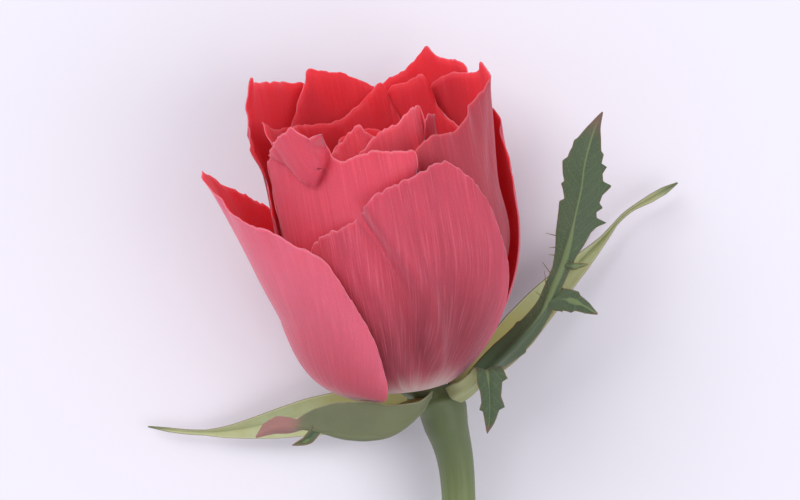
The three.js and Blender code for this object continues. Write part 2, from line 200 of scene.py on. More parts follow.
# %% [markdown]
# ## Colours
# Colours are written as the hex values a colour picker gives and turned to linear light once.
# One small function adds a node, sets it up and links it, so each material reads as a list.

# %% Colour and node helpers


def linear(code):
    """An sRGB hex code as linear RGBA."""
    values = [int(code[i:i + 2], 16) / 255 for i in (1, 3, 5)]
    return [v / 12.92 if v <= 0.04045 else ((v + 0.055) / 1.055) ** 2.4 for v in values] + [1]


def new_material(name):
    """An empty material, its nodes and its Principled shader."""
    material = bpy.data.materials.new(name)
    material.use_nodes = True
    return material, material.node_tree, material.node_tree.nodes["Principled BSDF"]


def node(tree, kind, links=None, **settings):
    """Adds a node; settings are its properties, links its inputs' values or sources."""
    made = tree.nodes.new("ShaderNode" + kind)
    for key, value in settings.items():
        setattr(made, key, value)
    for key, value in (links or {}).items():
        if isinstance(value, bpy.types.NodeSocket):
            tree.links.new(value, made.inputs[key])
        else:
            made.inputs[key].default_value = value
    return made


def math_node(tree, operation, a, b=0.0, c=0.0):
    """The result of one arithmetic step."""
    return node(tree, "Math", {0: a, 1: b, 2: c}, operation=operation).outputs[0]


def blend_colour(tree, share, a, b):
    """Colour a where share is 0 and b where it is 1."""
    mix = node(tree, "Mix", {0: share, 6: a, 7: b}, data_type="RGBA")
    return mix.outputs[2]


def ramp(tree, value, start, end):
    """0 below start and 1 above end, with soft ends."""
    made = node(tree, "MapRange", {0: value, 1: start, 2: end}, interpolation_type="SMOOTHSTEP")
    return made.outputs[0]


# %% [markdown]
# ## Petal skin
# A rose petal is covered in tiny cone-shaped cells that scatter light like velvet, over fine
# veins that fan out from the claw. Base colour carries the veins as soft streaks, sheen gives
# the bloom at grazing angles, and a little subsurface light lets red glow through the sheet.

# %% Petal materials
VEIN_SPACING = 0.32  # mm between the fine veins
VEIN_RUN = 16.0  # mm that one vein keeps its tone
GRAIN = 0.16  # mm, coarser than the real cells so that it shows


def streaks(tree, place, spacing, run):
    """Noise drawn out along the petal, as veins are."""
    stretched = node(tree, "Mapping", {"Vector": place, "Scale": (1 / spacing, 1 / run, 0)})
    return node(tree, "TexNoise", {"Vector": stretched.outputs[0], "Scale": 1.0, "Detail": 3.0,
                                   "Roughness": 0.6}).outputs[0]


def petal_skin(name, foot, low, high, rim, sheen, tint, depth, glow, painted_glow=None, lit=0.0):
    """Velvety petal skin. foot, low and high are its colours from the claw to the margin.

    The colour given after glow is painted light: a brighter, redder left side that stands for light
    shining through the sheet, and lit is a faint light that stands for what reaches an inner skin
    through the petals round it.
    reaches an inner skin through the petals round it.
    """
    material, tree, shader = new_material(name)
    place = node(tree, "Attribute", attribute_name="place").outputs["Vector"]
    share = node(tree, "Attribute", attribute_name="share").outputs["Fac"]
    parts = node(tree, "SeparateXYZ", {0: place}).outputs
    fine = streaks(tree, place, VEIN_SPACING, VEIN_RUN)
    broad = streaks(tree, place, 6 * VEIN_SPACING, 2 * VEIN_RUN)
    cells = node(tree, "TexCoord").outputs["Object"]
    grain = node(tree, "TexNoise", {"Vector": cells, "Scale": 1 / (GRAIN * MM), "Detail": 1.0})
    cloud = node(tree, "TexNoise", {"Vector": cells, "Scale": 1 / (7 * MM), "Detail": 2.0})
    # From low near the claw to high near the margin: the darker low is partly the petal's own duller
    # tone and partly painted shade on its lower part.
    body = blend_colour(tree, ramp(tree, share, 0.3, 0.9), linear(low), linear(high))
    if painted_glow:
        # Painted light: the left side is blended to a brighter red, as if lit through the sheet.
        painted_glow_share = math_node(tree, "MULTIPLY", ramp(tree, parts[0], 27, 15), 0.9)
        body = blend_colour(tree, painted_glow_share, body, linear(painted_glow))
    tone = math_node(tree, "MULTIPLY_ADD", fine, depth, 1 - depth / 2)
    tone = math_node(tree, "MULTIPLY_ADD", broad, depth, tone)
    tone = math_node(tree, "MULTIPLY_ADD", cloud.outputs[0], 0.7 * depth, tone)
    tone = math_node(tree, "MULTIPLY_ADD", grain.outputs[0], 0.25, tone)
    tone = math_node(tree, "SUBTRACT", tone, 0.125 + 0.85 * depth)
    toned = node(tree, "VectorMath", {0: body, "Scale": tone}, operation="SCALE").outputs[0]
    pale_veins = math_node(tree, "MULTIPLY", ramp(tree, fine, 0.47, 0.75), 0.6 * depth)
    toned = blend_colour(tree, pale_veins, toned, linear(rim))
    fade = math_node(tree, "MULTIPLY_ADD", broad, 0.14, share)
    toned = blend_colour(tree, ramp(tree, fade, 0.1, 0.34), linear(foot), toned)
    edge = math_node(tree, "MULTIPLY", ramp(tree, parts[2], 0.3, 0.03), 0.45)
    colour = blend_colour(tree, edge, toned, linear(rim))
    tree.links.new(colour, shader.inputs["Base Color"])
    relief = math_node(tree, "MULTIPLY_ADD", broad, 2.0, fine)
    relief = math_node(tree, "MULTIPLY_ADD", grain.outputs[0], 0.5, relief)
    bump = node(tree, "Bump", {"Height": relief, "Strength": 0.4, "Distance": 0.16 * MM})
    tree.links.new(bump.outputs[0], shader.inputs["Normal"])
    shader.inputs["Roughness"].default_value = 0.62
    shader.inputs["IOR"].default_value = 1.42
    shader.inputs["Specular IOR Level"].default_value = 0.3
    shader.inputs["Sheen Weight"].default_value = sheen
    shader.inputs["Sheen Roughness"].default_value = 0.32
    shader.inputs["Sheen Tint"].default_value = linear(tint)
    shader.inputs["Subsurface Weight"].default_value = glow
    shader.inputs["Subsurface Radius"].default_value = (1.0, 0.12, 0.1)
    shader.inputs["Subsurface Scale"].default_value = 1.0 * MM
    shader.inputs["Emission Color"].default_value = linear(low)
    shader.inputs["Emission Strength"].default_value = lit
    return material


SKINS = {
    "outer": petal_skin("petal outer skin, dusky pink", "#c8aca4", "#9a3e4a", "#c84c60",
                        "#e48a9a", 0.6, "#f6d4de", 0.36, 0.5),
    # The front skin's brighter left side is painted light shining through the petal.
    "front": petal_skin("petal outer skin, dusky pink with a warm left side", "#c8aca4",
                        "#953c48", "#c84c60", "#e48a9a", 0.6, "#f6d4de", 0.4, 0.5, "#cf505c"),
    # The left petal's paler skin is partly its own tint and partly painted light on the side that
    # faces the light.
    "left": petal_skin("petal outer skin, pale pink, partly painted light", "#c8aca0", "#c85264", "#e1677d",
                       "#ea8c9c", 0.4, "#f6d4de", 0.18, 0.6),
    "crest": petal_skin("petal outer skin, coral pink", "#c9b8a0", "#cc3a4a", "#dc5468",
                        "#ee909c", 0.28, "#f6d4de", 0.26, 0.7),
    # The cheek skin's darker colours are painted shade, for where it lies behind the front petal's
    # top.
    "cheek": petal_skin("petal outer skin, crimson pink darkened by painted shade", "#c9b8a0", "#98303e", "#b0404e",
                        "#d87480", 0.5, "#f6d4de", 0.26, 0.6),
    "heart": petal_skin("petal outer skin of the heart, deep pink", "#c9b8a0", "#c6303c",
                        "#dc5666", "#f0909c", 0.25, "#f6d4de", 0.24, 0.8),
    "inner": petal_skin("petal inner skin, velvety red", "#d9b888", "#d62a34", "#d83a46",
                        "#f07480", 0.1, "#ff9aa2", 0.14, 1.0, lit=0.06),
}
print("petal skins:", ", ".join(SKINS))

# %% [markdown]
# ## Petals
# Angles run round the bud in degrees from its front, positive to the right. An outline lists
# the margin as angle and height. A real margin is never clean, so small notches and a slight
# ripple are added along it, and the last millimetre curls outwards.

# %% How a petal is bent
PETAL_THICKNESS = 0.3


def sorted_outline(outline):
    """The outline from left to right, so that the sheet's front is the petal's outside."""
    return outline if outline[0][0] < outline[-1][0] else outline[::-1]


def margin(outline, layer, share):
    """Angle, height and mm along the margin, at shares of its length."""
    fine = through(sorted_outline(outline), np.linspace(0, 1, 2000))
    step = np.hypot(np.radians(np.diff(fine[:, 0])) * layer, np.diff(fine[:, 1]))
    along = np.concatenate([[0], np.cumsum(step)])
    at = share * along[-1]
    return np.interp(at, along, fine[:, 0]), np.interp(at, along, fine[:, 1]), at


def leaning(flare, a, h):
    """How far a petal leans out, most at one angle and above one height."""
    side = smooth(1 - np.abs(a - flare["angle"]) / flare["width"])
    return flare["reach"] * side * (np.maximum(h - flare["from"], 0) / flare["over"]) ** 1.15


def bend_petal(u, v, spec, seed):
    """Points, places and shares of a petal at grid shares u and v."""
    layer = spec["layer"]
    angle, top, across = margin(spec["outline"], layer, u)
    notch, every = spec.get("notch", (0.12, 2.8))
    top = top + notch * wave(across, every, seed) + 0.4 * notch * wave(across, 1.1, seed + 2)
    t = v ** 0.6
    neck = spec.get("neck", 0.35)
    fan = neck + (1 - neck) * np.sin(math.pi / 2 * t) ** 0.9
    a = spec["claw"] + (angle - spec["claw"]) * fan
    own = layer + spec.get("spiral", 0) * np.clip((a - spec.get("middle", 0)) / 60, -1, 1)
    foot = claw(own)[1] + spec.get("rise", 0) * (1 - t)
    h = foot + (top - foot) * t ** 2
    r = cup(own, h)
    if "flare" in spec:
        r = r + leaning(spec["flare"], a, h)
    to_margin = np.hypot(top - h, np.radians(angle - a) * layer)
    free = smooth((h - 22) / 14)
    r = r + spec.get("ripple", 0.35) * free * wave(across, 8, seed + 1) * np.exp(-to_margin / 3)
    r = r + spec.get("curl", 0.3) * free * np.exp(-to_margin / 0.9)
    if "fold" in spec:
        out, aside = spec["fold"](a, h, to_margin)
        r = r + out
        a = a + aside
    turn = np.radians(a)
    points = bud(r * np.sin(turn) - sag(h), r * np.cos(turn), h)
    place = np.stack([across, (1 - v) * -20 + 40 * v, to_margin], axis=1)
    return points, place, t ** 1.5


# %% [markdown]
# ## Folds of single petals
# Some petals carry a fold that no shared rule gives. The front petal has a soft ridge from its
# left corner to the claw, with a valley beside it. The crest petal's left lobe is rolled out
# and its free edge lies over the petal's own face. Each fold is a function that says how far a
# point moves out, in mm, and how far it turns round the bud, in degrees.

# %% Folds


def line_at(h, points):
    """The angle of a line given as height and angle, at height h."""
    return np.interp(h, *zip(*points))


RIDGE = [(3, 24), (10, 15), (15, 11.5), (20, 8.5), (24, 3.5), (28, -2), (31, -6.5), (34, -10)]


def front_ridge(a, h, to_margin):
    """The ridge below the front petal's left corner, and the valleys beside it."""
    s = a - line_at(h, RIDGE)
    strength = smooth((h - 4) / 8)
    ridge = 1.5 * np.exp(-(s / 4.5) ** 2) - 1.5 * np.exp(-((s + 9) / 5.5) ** 2)
    beside = -0.7 * np.exp(-((s - 13) / 8) ** 2) * smooth((26 - h) / 8)
    crease = 0.5 * np.exp(-((s + 20) / 3.0) ** 2) * smooth((26 - h) / 6)
    return strength * (ridge + beside + crease), 0


def crest_roll(a, h, to_margin):
    """The crest petal's rolled lobe, whose free edge lies over its own face."""
    slit = line_at(h, [(36, -41), (39.5, -31.5), (43, -29.6), (44, -29)])
    hinge = np.interp(a, [-79, -65, -50, -43, -39], [40.4, 40.0, 39.2, 36.9, 36.2])
    s = a - slit
    over = np.maximum(h - hinge, 0)
    left_of = smooth(-s / 0.7)
    out = (0.42 * over + 0.8 * smooth(over / 0.7)) * left_of * smooth((a + 82) / 26)
    aside = 3.2 * np.exp(-((s + 2.0) / 1.6) ** 2) * smooth(over / 1.2)
    hollow = -0.9 * np.exp(-((s - 2.6) / 2.6) ** 2) * smooth((h - 35) / 3)
    return out + hollow, aside


def left_lobes(a, h, to_margin):
    """The waves in the left edge of the petal behind."""
    out = np.interp(h, [34, 37, 38.5, 40.6, 41.6, 42.5, 44.6, 46.3, 48, 49.5],
                    [0, 0.1, 0.5, 1.3, 1.1, 1.6, 1.0, 1.3, 0.5, 0])
    return out * np.exp(-((a + 82) / 14) ** 2), 0


def heart_pleat(a, h, to_margin):
    """The heart petal's right strip turns inwards along a pleat."""
    past = np.maximum(a - 30, 0)
    return -0.07 * past * smooth((h - 32) / 6) + 0.3 * np.exp(-((a - 30) / 2.5) ** 2), 0


def cheek_groove(a, h, to_margin):
    """A soft groove down the right petal from its spur, and its fuller belly."""
    s = a - line_at(h, [(24, 60), (36, 78), (44, 88)])
    groove = -0.35 * np.exp(-(s / 7) ** 2) * smooth((h - 26) / 8)
    fuller = 0.8 * np.exp(-((a - 88) / 25) ** 2 - ((h - 21) / 6) ** 2)
    return groove + fuller, 0


# %% The petals, from the outside in
PETALS = {
    "left": dict(
        claw=-68, neck=0.4, rise=1.3, layer=18.8, skin="left", notch=(0.22, 3.4), ripple=0.3,
        flare={"angle": -86, "width": 80, "reach": 6.2, "from": 16, "over": 22},
        outline=[(-148, 8), (-150, 15), (-142, 22), (-126, 28), (-110, 33), (-97, 37),
                 (-89, 38.8), (-82, 38), (-72, 34.6), (-62, 32.6), (-52, 31.4), (-41, 28.9),
                 (-32.5, 26.8), (-25, 21.3), (-17.5, 15), (-14.5, 10.8), (-13, 7.5)]),
    "front": dict(
        claw=2, neck=0.45, layer=17.7, spiral=0.6, middle=20, fold=front_ridge, ripple=0.2,
        notch=(0.2, 2.2), skin="front",
        outline=[(-50, 9), (-52, 18), (-48, 25), (-43, 28.2), (-33, 30), (-26, 30.5),
                 (-19, 31.3), (-14.5, 32.2), (-10.5, 33.9), (-7, 34.7), (-3, 35), (5, 35.6),
                 (15, 36.3), (22, 36.8), (28, 36.6), (34, 34.8), (41, 32), (47, 28),
                 (51.5, 23), (56, 18), (60, 11)]),
    "right": dict(
        claw=112, neck=0.4, layer=17.3, curl=0.1, notch=(0.08, 3.0),
        outline=[(68, 10), (76, 17), (84, 23), (89, 29), (92, 33.5), (95, 36), (100, 37.4),
                 (107, 38.4), (118, 39.4), (138, 38), (152, 33), (158, 23), (154, 12)]),
    "back": dict(
        claw=176, neck=0.4, layer=18.5, spiral=-0.85, middle=176,
        outline=[(132, 12), (126, 22), (132, 30), (150, 36), (168, 38.5), (182, 39),
                 (196, 37.5), (210, 33), (220, 26), (222, 18), (216, 10)]),
    "crest": dict(
        claw=-28, layer=16, spiral=-0.2, skin="crest", fold=crest_roll, ripple=0.15,
        notch=(0.14, 3.0), grid=(230, 90),
        outline=[(-66, 14), (-70, 22), (-74, 29), (-78, 35), (-77, 38.4), (-71, 39.8),
                 (-62, 41), (-55, 42.2), (-48, 43.4), (-42, 44.6), (-36.5, 45.3), (-33.8, 46.2),
                 (-32, 44.9), (-30.6, 44.2), (-29.3, 43.9), (-28, 41.5), (-24, 39.9),
                 (-18, 39.6), (-11, 40.1), (-3, 40.2), (6, 39.5),
                 (16, 38.8), (14, 35), (10, 29), (6, 21), (4, 14)]),
    "cheek": dict(
        claw=76, layer=15.0, fold=cheek_groove, notch=(0.1, 3.0), skin="cheek", curl=0.15,
        flare={"angle": 90, "width": 32, "reach": 2.3, "from": 28, "over": 15},
        outline=[(2, 18), (4, 28), (8, 34), (17, 38.4), (27, 39.9), (37, 39.6), (45, 39.3),
                 (53, 40.2), (60, 41.4), (70, 42.2), (80, 42.9), (88, 43.8), (95, 44.6),
                 (100, 45.3), (104, 43.9), (112, 43.4), (122, 43.5), (136, 42.5), (143, 41.4),
                 (150, 38), (158, 32), (160, 24), (152, 15)]),
    "left_back": dict(
        claw=-112, neck=0.3, layer=16.6, spiral=0.3, middle=-128, fold=left_lobes,
        notch=(0.15, 2.6), curl=0.1,
        outline=[(-76, 15), (-78, 24), (-78, 31), (-82, 36.5), (-86, 40), (-82, 42.5),
                 (-87, 45.5), (-90, 48), (-93, 50.2), (-99, 48.9), (-109, 48.4), (-125, 47.3),
                 (-139, 46.0),
                 (-150, 44.5), (-162, 38), (-168, 30), (-166, 20), (-158, 12)]),
    "top_right": dict(
        claw=146, layer=16.3, spiral=-0.4, middle=120, notch=(0.12, 3.4), curl=0.1,
        outline=[(124, 16), (119, 26), (117, 36), (117, 42.4), (119, 44.2), (124, 44.9),
                 (136, 45.4), (143, 47.0), (154, 44.7), (163, 43.4), (172, 42.4), (182, 38),
                 (188, 29), (186, 17)]),
    "top_left": dict(
        claw=-162, layer=14.5,
        outline=[(-116, 17), (-112, 27), (-118, 36), (-128, 41), (-137, 44.4), (-142, 45.6),
                 (-147, 47.4), (-157, 46.4), (-167, 45.5), (-175, 44), (-184, 42.3),
                 (-194, 38), (-200, 30), (-198, 19)]),
    "inner_left": dict(
        claw=-110, layer=13.6, spiral=0.4, middle=-110,
        flare={"angle": -88, "width": 36, "reach": 2.0, "from": 34, "over": 10},
        outline=[(-66, 18), (-64, 28), (-66, 36), (-70, 40), (-78, 42), (-88, 44),
                 (-101, 42), (-112, 41.2), (-126, 40.6), (-146, 38), (-160, 34), (-166, 26),
                 (-160, 16)]),
    "inner_right": dict(
        claw=142, layer=12.8,
        outline=[(94, 20), (92, 29), (102, 34), (118, 36.4), (130, 37.6), (135, 39.2),
                 (137, 41), (140, 43.8), (153, 42.8), (167, 42), (178, 37), (184, 28),
                 (180, 18)]),
    "inner_back": dict(
        claw=-172, layer=11.8,
        outline=[(-96, 20), (-88, 30), (-90, 40), (-104, 41.6), (-132, 40.3), (-154, 39.5),
                 (-172, 41), (-189, 43.4), (-193, 40.8), (-198, 37.5), (-205, 30),
                 (-203, 19)]),
    "heart_front": dict(
        claw=2, layer=10.2, fold=heart_pleat, notch=(0.14, 1.9), skin="heart",
        outline=[(-60, 20), (-58, 29), (-48, 34.5), (-26, 38), (-14, 39.2), (-7, 40.3),
                 (1, 41.2), (8, 41.7), (15, 41.8), (22, 42.5), (28, 43.2), (31, 43.4),
                 (38, 43), (45, 42.9), (44, 40.8), (40, 38), (36, 33), (34, 26), (32, 20)]),
    "heart_left": dict(
        claw=-35, layer=9.1, skin="heart", notch=(0.18, 2.1),
        outline=[(-100, 20), (-98, 29), (-84, 34), (-60, 37.4), (-46, 39), (-37, 40),
                 (-16, 42.6), (-9, 41.2), (-2, 40.5), (10, 40.5), (24, 39), (34, 33),
                 (38, 22)]),
    "heart_right": dict(
        claw=90, layer=8,
        outline=[(20, 20), (18, 30), (34, 36), (60, 40.5), (84, 40), (110, 39), (136, 37),
                 (152, 32), (160, 24), (158, 18)]),
    "heart_back": dict(
        claw=-140, layer=6.8,
        outline=[(-226, 20), (-222, 30), (-200, 36), (-165, 38.5), (-130, 38), (-95, 36.5),
                 (-75, 31), (-72, 20)]),
    "core_front": dict(
        claw=-5, neck=0.4, layer=5.4,
        outline=[(-90, 20), (-88, 29), (-60, 35), (-20, 37), (20, 36.5), (60, 34), (84, 28),
                 (86, 20)]),
    "core_back": dict(
        claw=175, neck=0.4, layer=4.1,
        outline=[(85, 20), (88, 28), (120, 34), (160, 36), (200, 35.5), (240, 33), (264, 27),
                 (266, 20)]),
}

# %% Make the petals
for seed, (name, spec) in enumerate(PETALS.items()):
    petal, u, v = flat_grid("petal_" + name + "_skin", *spec.get("grid", (150, 48)))
    for skin in (spec.get("skin", "outer"), "inner"):
        petal.data.materials.append(SKINS[skin])
    points, place, share = bend_petal(u, v, spec, 1.3 * seed)
    finish_sheet(petal, points, place, share, PETAL_THICKNESS, 0.4)
    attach(petal, "root")
    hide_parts("petal_" + name)
print("petals:", len(PETALS))

# %% [markdown]
# ## Sepals
# A sepal is a small leaf. Its blade follows a spine, its margins are listed with their teeth, and a
# midrib runs down the middle. The leafy one has leaflets at its narrow waist, and a few gland-tipped
# hairs that are too fine for a sheet and are made as thin spikes.

# %% Leaf materials


def leaf_skin(name, face, pale, base, margin_colour, tip, veins, base_to=0.5, tip_from=0.9):
    """A leaf surface with a pale midrib, side veins and a fine net between them."""
    material, tree, shader = new_material(name)
    place = node(tree, "Attribute", attribute_name="place").outputs["Vector"]
    share = node(tree, "Attribute", attribute_name="share").outputs["Fac"]
    parts = node(tree, "SeparateXYZ", {0: place}).outputs
    cells = node(tree, "TexCoord").outputs["Object"]
    side = math_node(tree, "ABSOLUTE", parts[0])
    stalk = math_node(tree, "MULTIPLY", ramp(tree, share, 0.36, 0.46), ramp(tree, share, 0.68, 0.54))
    width = math_node(tree, "MULTIPLY_ADD", stalk, 0.35, 0.12)
    midrib = ramp(tree, math_node(tree, "DIVIDE", side, width), 1.0, 0.4)
    slant = math_node(tree, "MULTIPLY_ADD", side, -1.3, parts[1])
    saw = math_node(tree, "PINGPONG", slant, 0.95)
    ribs = math_node(tree, "MULTIPLY", ramp(tree, saw, 0.1, 0.02), 0.5)
    net = node(tree, "TexVoronoi", {"Vector": place, "Scale": 2.2}, feature="DISTANCE_TO_EDGE")
    mesh = math_node(tree, "MULTIPLY", ramp(tree, net.outputs[0], 0.09, 0.02), 0.35)
    lines = math_node(tree, "MAXIMUM", midrib, math_node(tree, "MAXIMUM", ribs, mesh))
    lines = math_node(tree, "MULTIPLY", lines, ramp(tree, share, 0.25, 0.42))
    cloud = node(tree, "TexNoise", {"Vector": cells, "Scale": 1 / (3 * MM), "Detail": 4.0})
    patch = ramp(tree, cloud.outputs[0], 0.3, 0.7)
    body = blend_colour(tree, math_node(tree, "MULTIPLY", patch, 0.35), linear(face),
                        linear(base))
    body = blend_colour(tree, ramp(tree, share, base_to, base_to - 0.25), body, linear(base))
    body = blend_colour(tree, math_node(tree, "MULTIPLY", lines, veins), body, linear(pale))
    body = blend_colour(tree, math_node(tree, "MULTIPLY", ramp(tree, parts[2], 0.22, 0.03), 0.55),
                        body, linear(margin_colour))
    body = blend_colour(tree, ramp(tree, share, tip_from, tip_from + 0.1), body, linear(tip))
    tree.links.new(body, shader.inputs["Base Color"])
    fuzz = node(tree, "TexNoise", {"Vector": cells, "Scale": 1 / (0.2 * MM), "Detail": 2.0})
    height = math_node(tree, "MULTIPLY_ADD", lines, -1.2, fuzz.outputs[0])
    bump = node(tree, "Bump", {"Height": height, "Strength": 0.5, "Distance": 0.12 * MM})
    tree.links.new(bump.outputs[0], shader.inputs["Normal"])
    shader.inputs["Roughness"].default_value = 0.5
    shader.inputs["Specular IOR Level"].default_value = 0.4
    shader.inputs["Sheen Weight"].default_value = 0.15
    shader.inputs["Subsurface Weight"].default_value = 0.12
    shader.inputs["Subsurface Radius"].default_value = (0.4, 0.7, 0.15)
    shader.inputs["Subsurface Scale"].default_value = 0.6 * MM
    return material


LEAVES = {
    "green": leaf_skin("leafy sepal, matt dark green", "#42543a", "#84945c", "#4a5a3c",
                       "#8a6440", "#74564a", 0.5),
    "downy": leaf_skin("sepal outer face, downy grey-green", "#646a4a", "#7a8260", "#6d7450",
                       "#b0a88a", "#6c7850", 0.25),
    "reddened": leaf_skin("sepal outer face, grey-green with a red-brown tip", "#62684a",
                          "#7a8260", "#6d7450", "#b0a88a", "#9c6e68", 0.25, 0.5, 0.74),
    "pale": leaf_skin("sepal inner face, pale green", "#b6bf92", "#c4caa0", "#a8a05e",
                      "#ccc8a2", "#78805c", 0.3),
    "stalk": leaf_skin("sepal outer face, pale at its base and green above", "#46583e",
                       "#84945c", "#aaae78", "#8a7a50", "#5c5a44", 0.3, 0.62),
}
print("leaf skins:", ", ".join(LEAVES))

# %% How a sepal is bent
SEPAL_THICKNESS = 0.4


def from_foot(points):
    """Points measured from the foot of the petals, in the row frame, in mm."""
    return FOOT + np.array(points, float)


def spine_at(spine, share):
    """Points and directions along a spine at shares of its length, in mm."""
    fine = through(spine, np.linspace(0, 1, 1500))
    length = np.concatenate([[0], np.cumsum(np.linalg.norm(np.diff(fine, axis=0), axis=1))])

    def at(part):
        place = np.clip(part, 0, 1) * length[-1]
        return np.stack([np.interp(place, length, c) for c in fine.T], axis=1)

    along = at(share + 0.02) - at(share - 0.02)
    return at(share), along / np.linalg.norm(along, axis=1)[:, None], length[-1]


def bend_blade(u, v, spine, side, turned, left, right, folds, curl=0.0):
    """Points, places and shares of a leaf blade at grid shares u and v.

    side is the direction of the right margin at the base and past the share `turned`.
    left and right list half widths; folds lists how far each half is folded up, in degrees.
    """
    points, along, length = spine_at(spine, v)
    start, end = np.array(side, float)
    across = start + smooth(v / turned)[:, None] * (end - start)
    across = across - (across * along).sum(axis=1)[:, None] * along
    across = across / np.linalg.norm(across, axis=1)[:, None]
    inner = np.cross(along, across)
    x = 2 * u - 1
    half = np.where(x < 0, np.interp(v, *zip(*left)), np.interp(v, *zip(*right)))
    share, left_fold, right_fold = zip(*folds)
    fold = np.where(x < 0, np.interp(v, share, left_fold), np.interp(v, share, right_fold))
    soft = 1 - np.exp(-(np.abs(x) / 0.25) ** 2)
    fold = np.radians(fold * soft)
    out = x * half
    rise = np.abs(out) * np.sin(fold) + curl * np.abs(x) ** 3 * half
    rise = rise - 0.25 * np.exp(-(out / 0.35) ** 2) * smooth(v / 0.1)
    made = points + across * (out * np.cos(fold))[:, None] + inner * rise[:, None]
    edge = np.minimum(half * (1 - np.abs(x)), (1 - v) * length)
    return made, np.stack([out, v * length, edge], axis=1), v


def add_blade(name, faces, grid=(20, 150), **shape):
    """One closed leaf blade with its two face materials."""
    leaf, u, v = flat_grid(name, *grid)
    for face in faces:
        leaf.data.materials.append(LEAVES[face])
    points, place, share = bend_blade(u, v, **shape)
    finish_sheet(leaf, points, place, share, SEPAL_THICKNESS, 0.45)
    return leaf


def join(first, others):
    """Joins the others into the first object."""
    bpy.ops.object.select_all(action="DESELECT")
    for obj in (first, *others):
        obj.select_set(True)
    bpy.context.view_layer.objects.active = first
    bpy.ops.object.join()


def hair(name, base, direction, length, thick=0.08):
    """A thin tapering spike at a point, in mm."""
    turn = Vector(direction).normalized()
    bpy.ops.object.select_all(action="DESELECT")
    bpy.ops.mesh.primitive_cone_add(vertices=8, radius1=thick * MM, radius2=0.03 * MM,
                                    depth=length * MM)
    spike = bpy.context.object
    spike.name = name
    spike.rotation_euler = turn.to_track_quat("Z", "Y").to_euler()
    spike.location = Vector(base) * MM + turn * (length / 2 * MM)
    bpy.ops.object.transform_apply(location=True, rotation=True, scale=True)
    spike.data.materials.append(LEAVES["green"])
    return spike


# %% The leafy sepal
leafy_spine = from_foot([
    (3.9, -0.4, 0.2), (8.0, 3.6, 2.6), (11.9, 7.5, 5), (15.2, 11.6, 6.6), (17, 15.5, 7.5),
    (18.2, 18.4, 7.6), (19.2, 22.1, 8), (19.9, 25.5, 8), (20.7, 29.1, 8), (21.2, 32.8, 8),
    (22.4, 37.0, 7.5), (23.7, 39.8, 7)])
leafy = add_blade(
    "sepal_leafy_skin", ("green", "green"), grid=(20, 240), spine=leafy_spine,
    side=[(0.35, -0.3, -0.9), (0.9, -0.45, -0.1)], turned=0.26,
    folds=[(0, 15, 15), (0.3, 25, 25), (0.6, 12, 12), (1, 8, 8)],
    left=[(0, 1.8), (0.1, 2.0), (0.2, 2.1), (0.28, 1.9), (0.3, 2.0), (0.31, 1.7), (0.36, 1.5),
          (0.41, 1.3), (0.51, 1.3), (0.57, 1.7), (0.62, 2.2), (0.68, 2.4), (0.712, 2.6),
          (0.722, 2.0), (0.75, 2.5), (0.768, 2.9), (0.778, 2.5), (0.8, 2.8), (0.835, 3.1),
          (0.845, 2.5), (0.86, 2.4), (0.875, 2.2), (0.895, 2.2), (0.905, 1.8), (0.93, 1.3),
          (0.96, 0.7), (1, 0.06)],
    right=[(0, 1.8), (0.1, 2.1), (0.2, 2.2), (0.24, 2.4), (0.25, 2.0), (0.31, 1.9), (0.36, 1.5),
           (0.41, 1.2), (0.51, 1.2), (0.56, 1.5), (0.6, 2.2), (0.64, 2.8), (0.66, 3.5),
           (0.68, 4.9), (0.688, 3.2), (0.705, 3.0), (0.722, 3.8), (0.732, 3.1), (0.755, 3.3),
           (0.782, 4.5), (0.79, 3.1), (0.813, 2.9), (0.842, 3.4), (0.85, 2.5), (0.88, 2.5),
           (0.888, 2.0), (0.926, 1.4), (0.955, 0.8), (1, 0.06)])


def leaflet(name, root_share, offsets, width):
    """A small blade that grows from the leafy sepal's midrib; offsets in mm."""
    root = spine_at(leafy_spine, np.array([root_share]))[0][0]
    half = [(0, 0.3), (0.12, 0.75), (0.3, 1), (0.33, 0.85), (0.55, 0.85), (0.6, 0.62),
            (0.8, 0.42), (1, 0.04)]
    half = [(t, w * width) for t, w in half]
    return add_blade(name, ("green", "green"), grid=(10, 60), spine=root + np.array(offsets),
                     side=[(-0.1, -1, 0.1), (-0.1, -1, 0.1)], turned=1,
                     folds=[(0, 20, 20), (1, 5, 5)], left=half, right=half)


low_leaflet = [(0, 0, 0.1), (2.1, 0.8, 0.3), (4.4, 0.3, 0.2), (7.2, -1.3, -0.5)]
small_leaflet = [(0, 0, 0), (1.5, -0.2, 0.2), (3.5, 0.1, -0.2)]
BRISTLES = [
    (0.62, -2.1, (-1, 0.25, 0.1), 1.5), (0.585, -1.8, (-0.9, -0.1, 0.3), 0.9),
    (0.56, -1.5, (-1, 0.1, 0.2), 0.9), (0.5, -1.1, (-0.75, 1, 0.4), 2.3),
    (0.46, -1.1, (-0.1, 1, 0.3), 2.3), (0.43, -1.2, (-0.8, 0.6, 0.2), 1.1),
]
leaflets = [leaflet("leaflet_low", 0.4, low_leaflet, 1.9),
            leaflet("leaflet_small", 0.53, small_leaflet, 0.55)]
bristles = [
    hair(f"bristle_{k}", spine_at(leafy_spine, np.array([share]))[0][0] + (aside, 0, 0),
         aim, long)
    for k, (share, aside, aim, long) in enumerate(BRISTLES)]
join(leafy, leaflets + bristles)

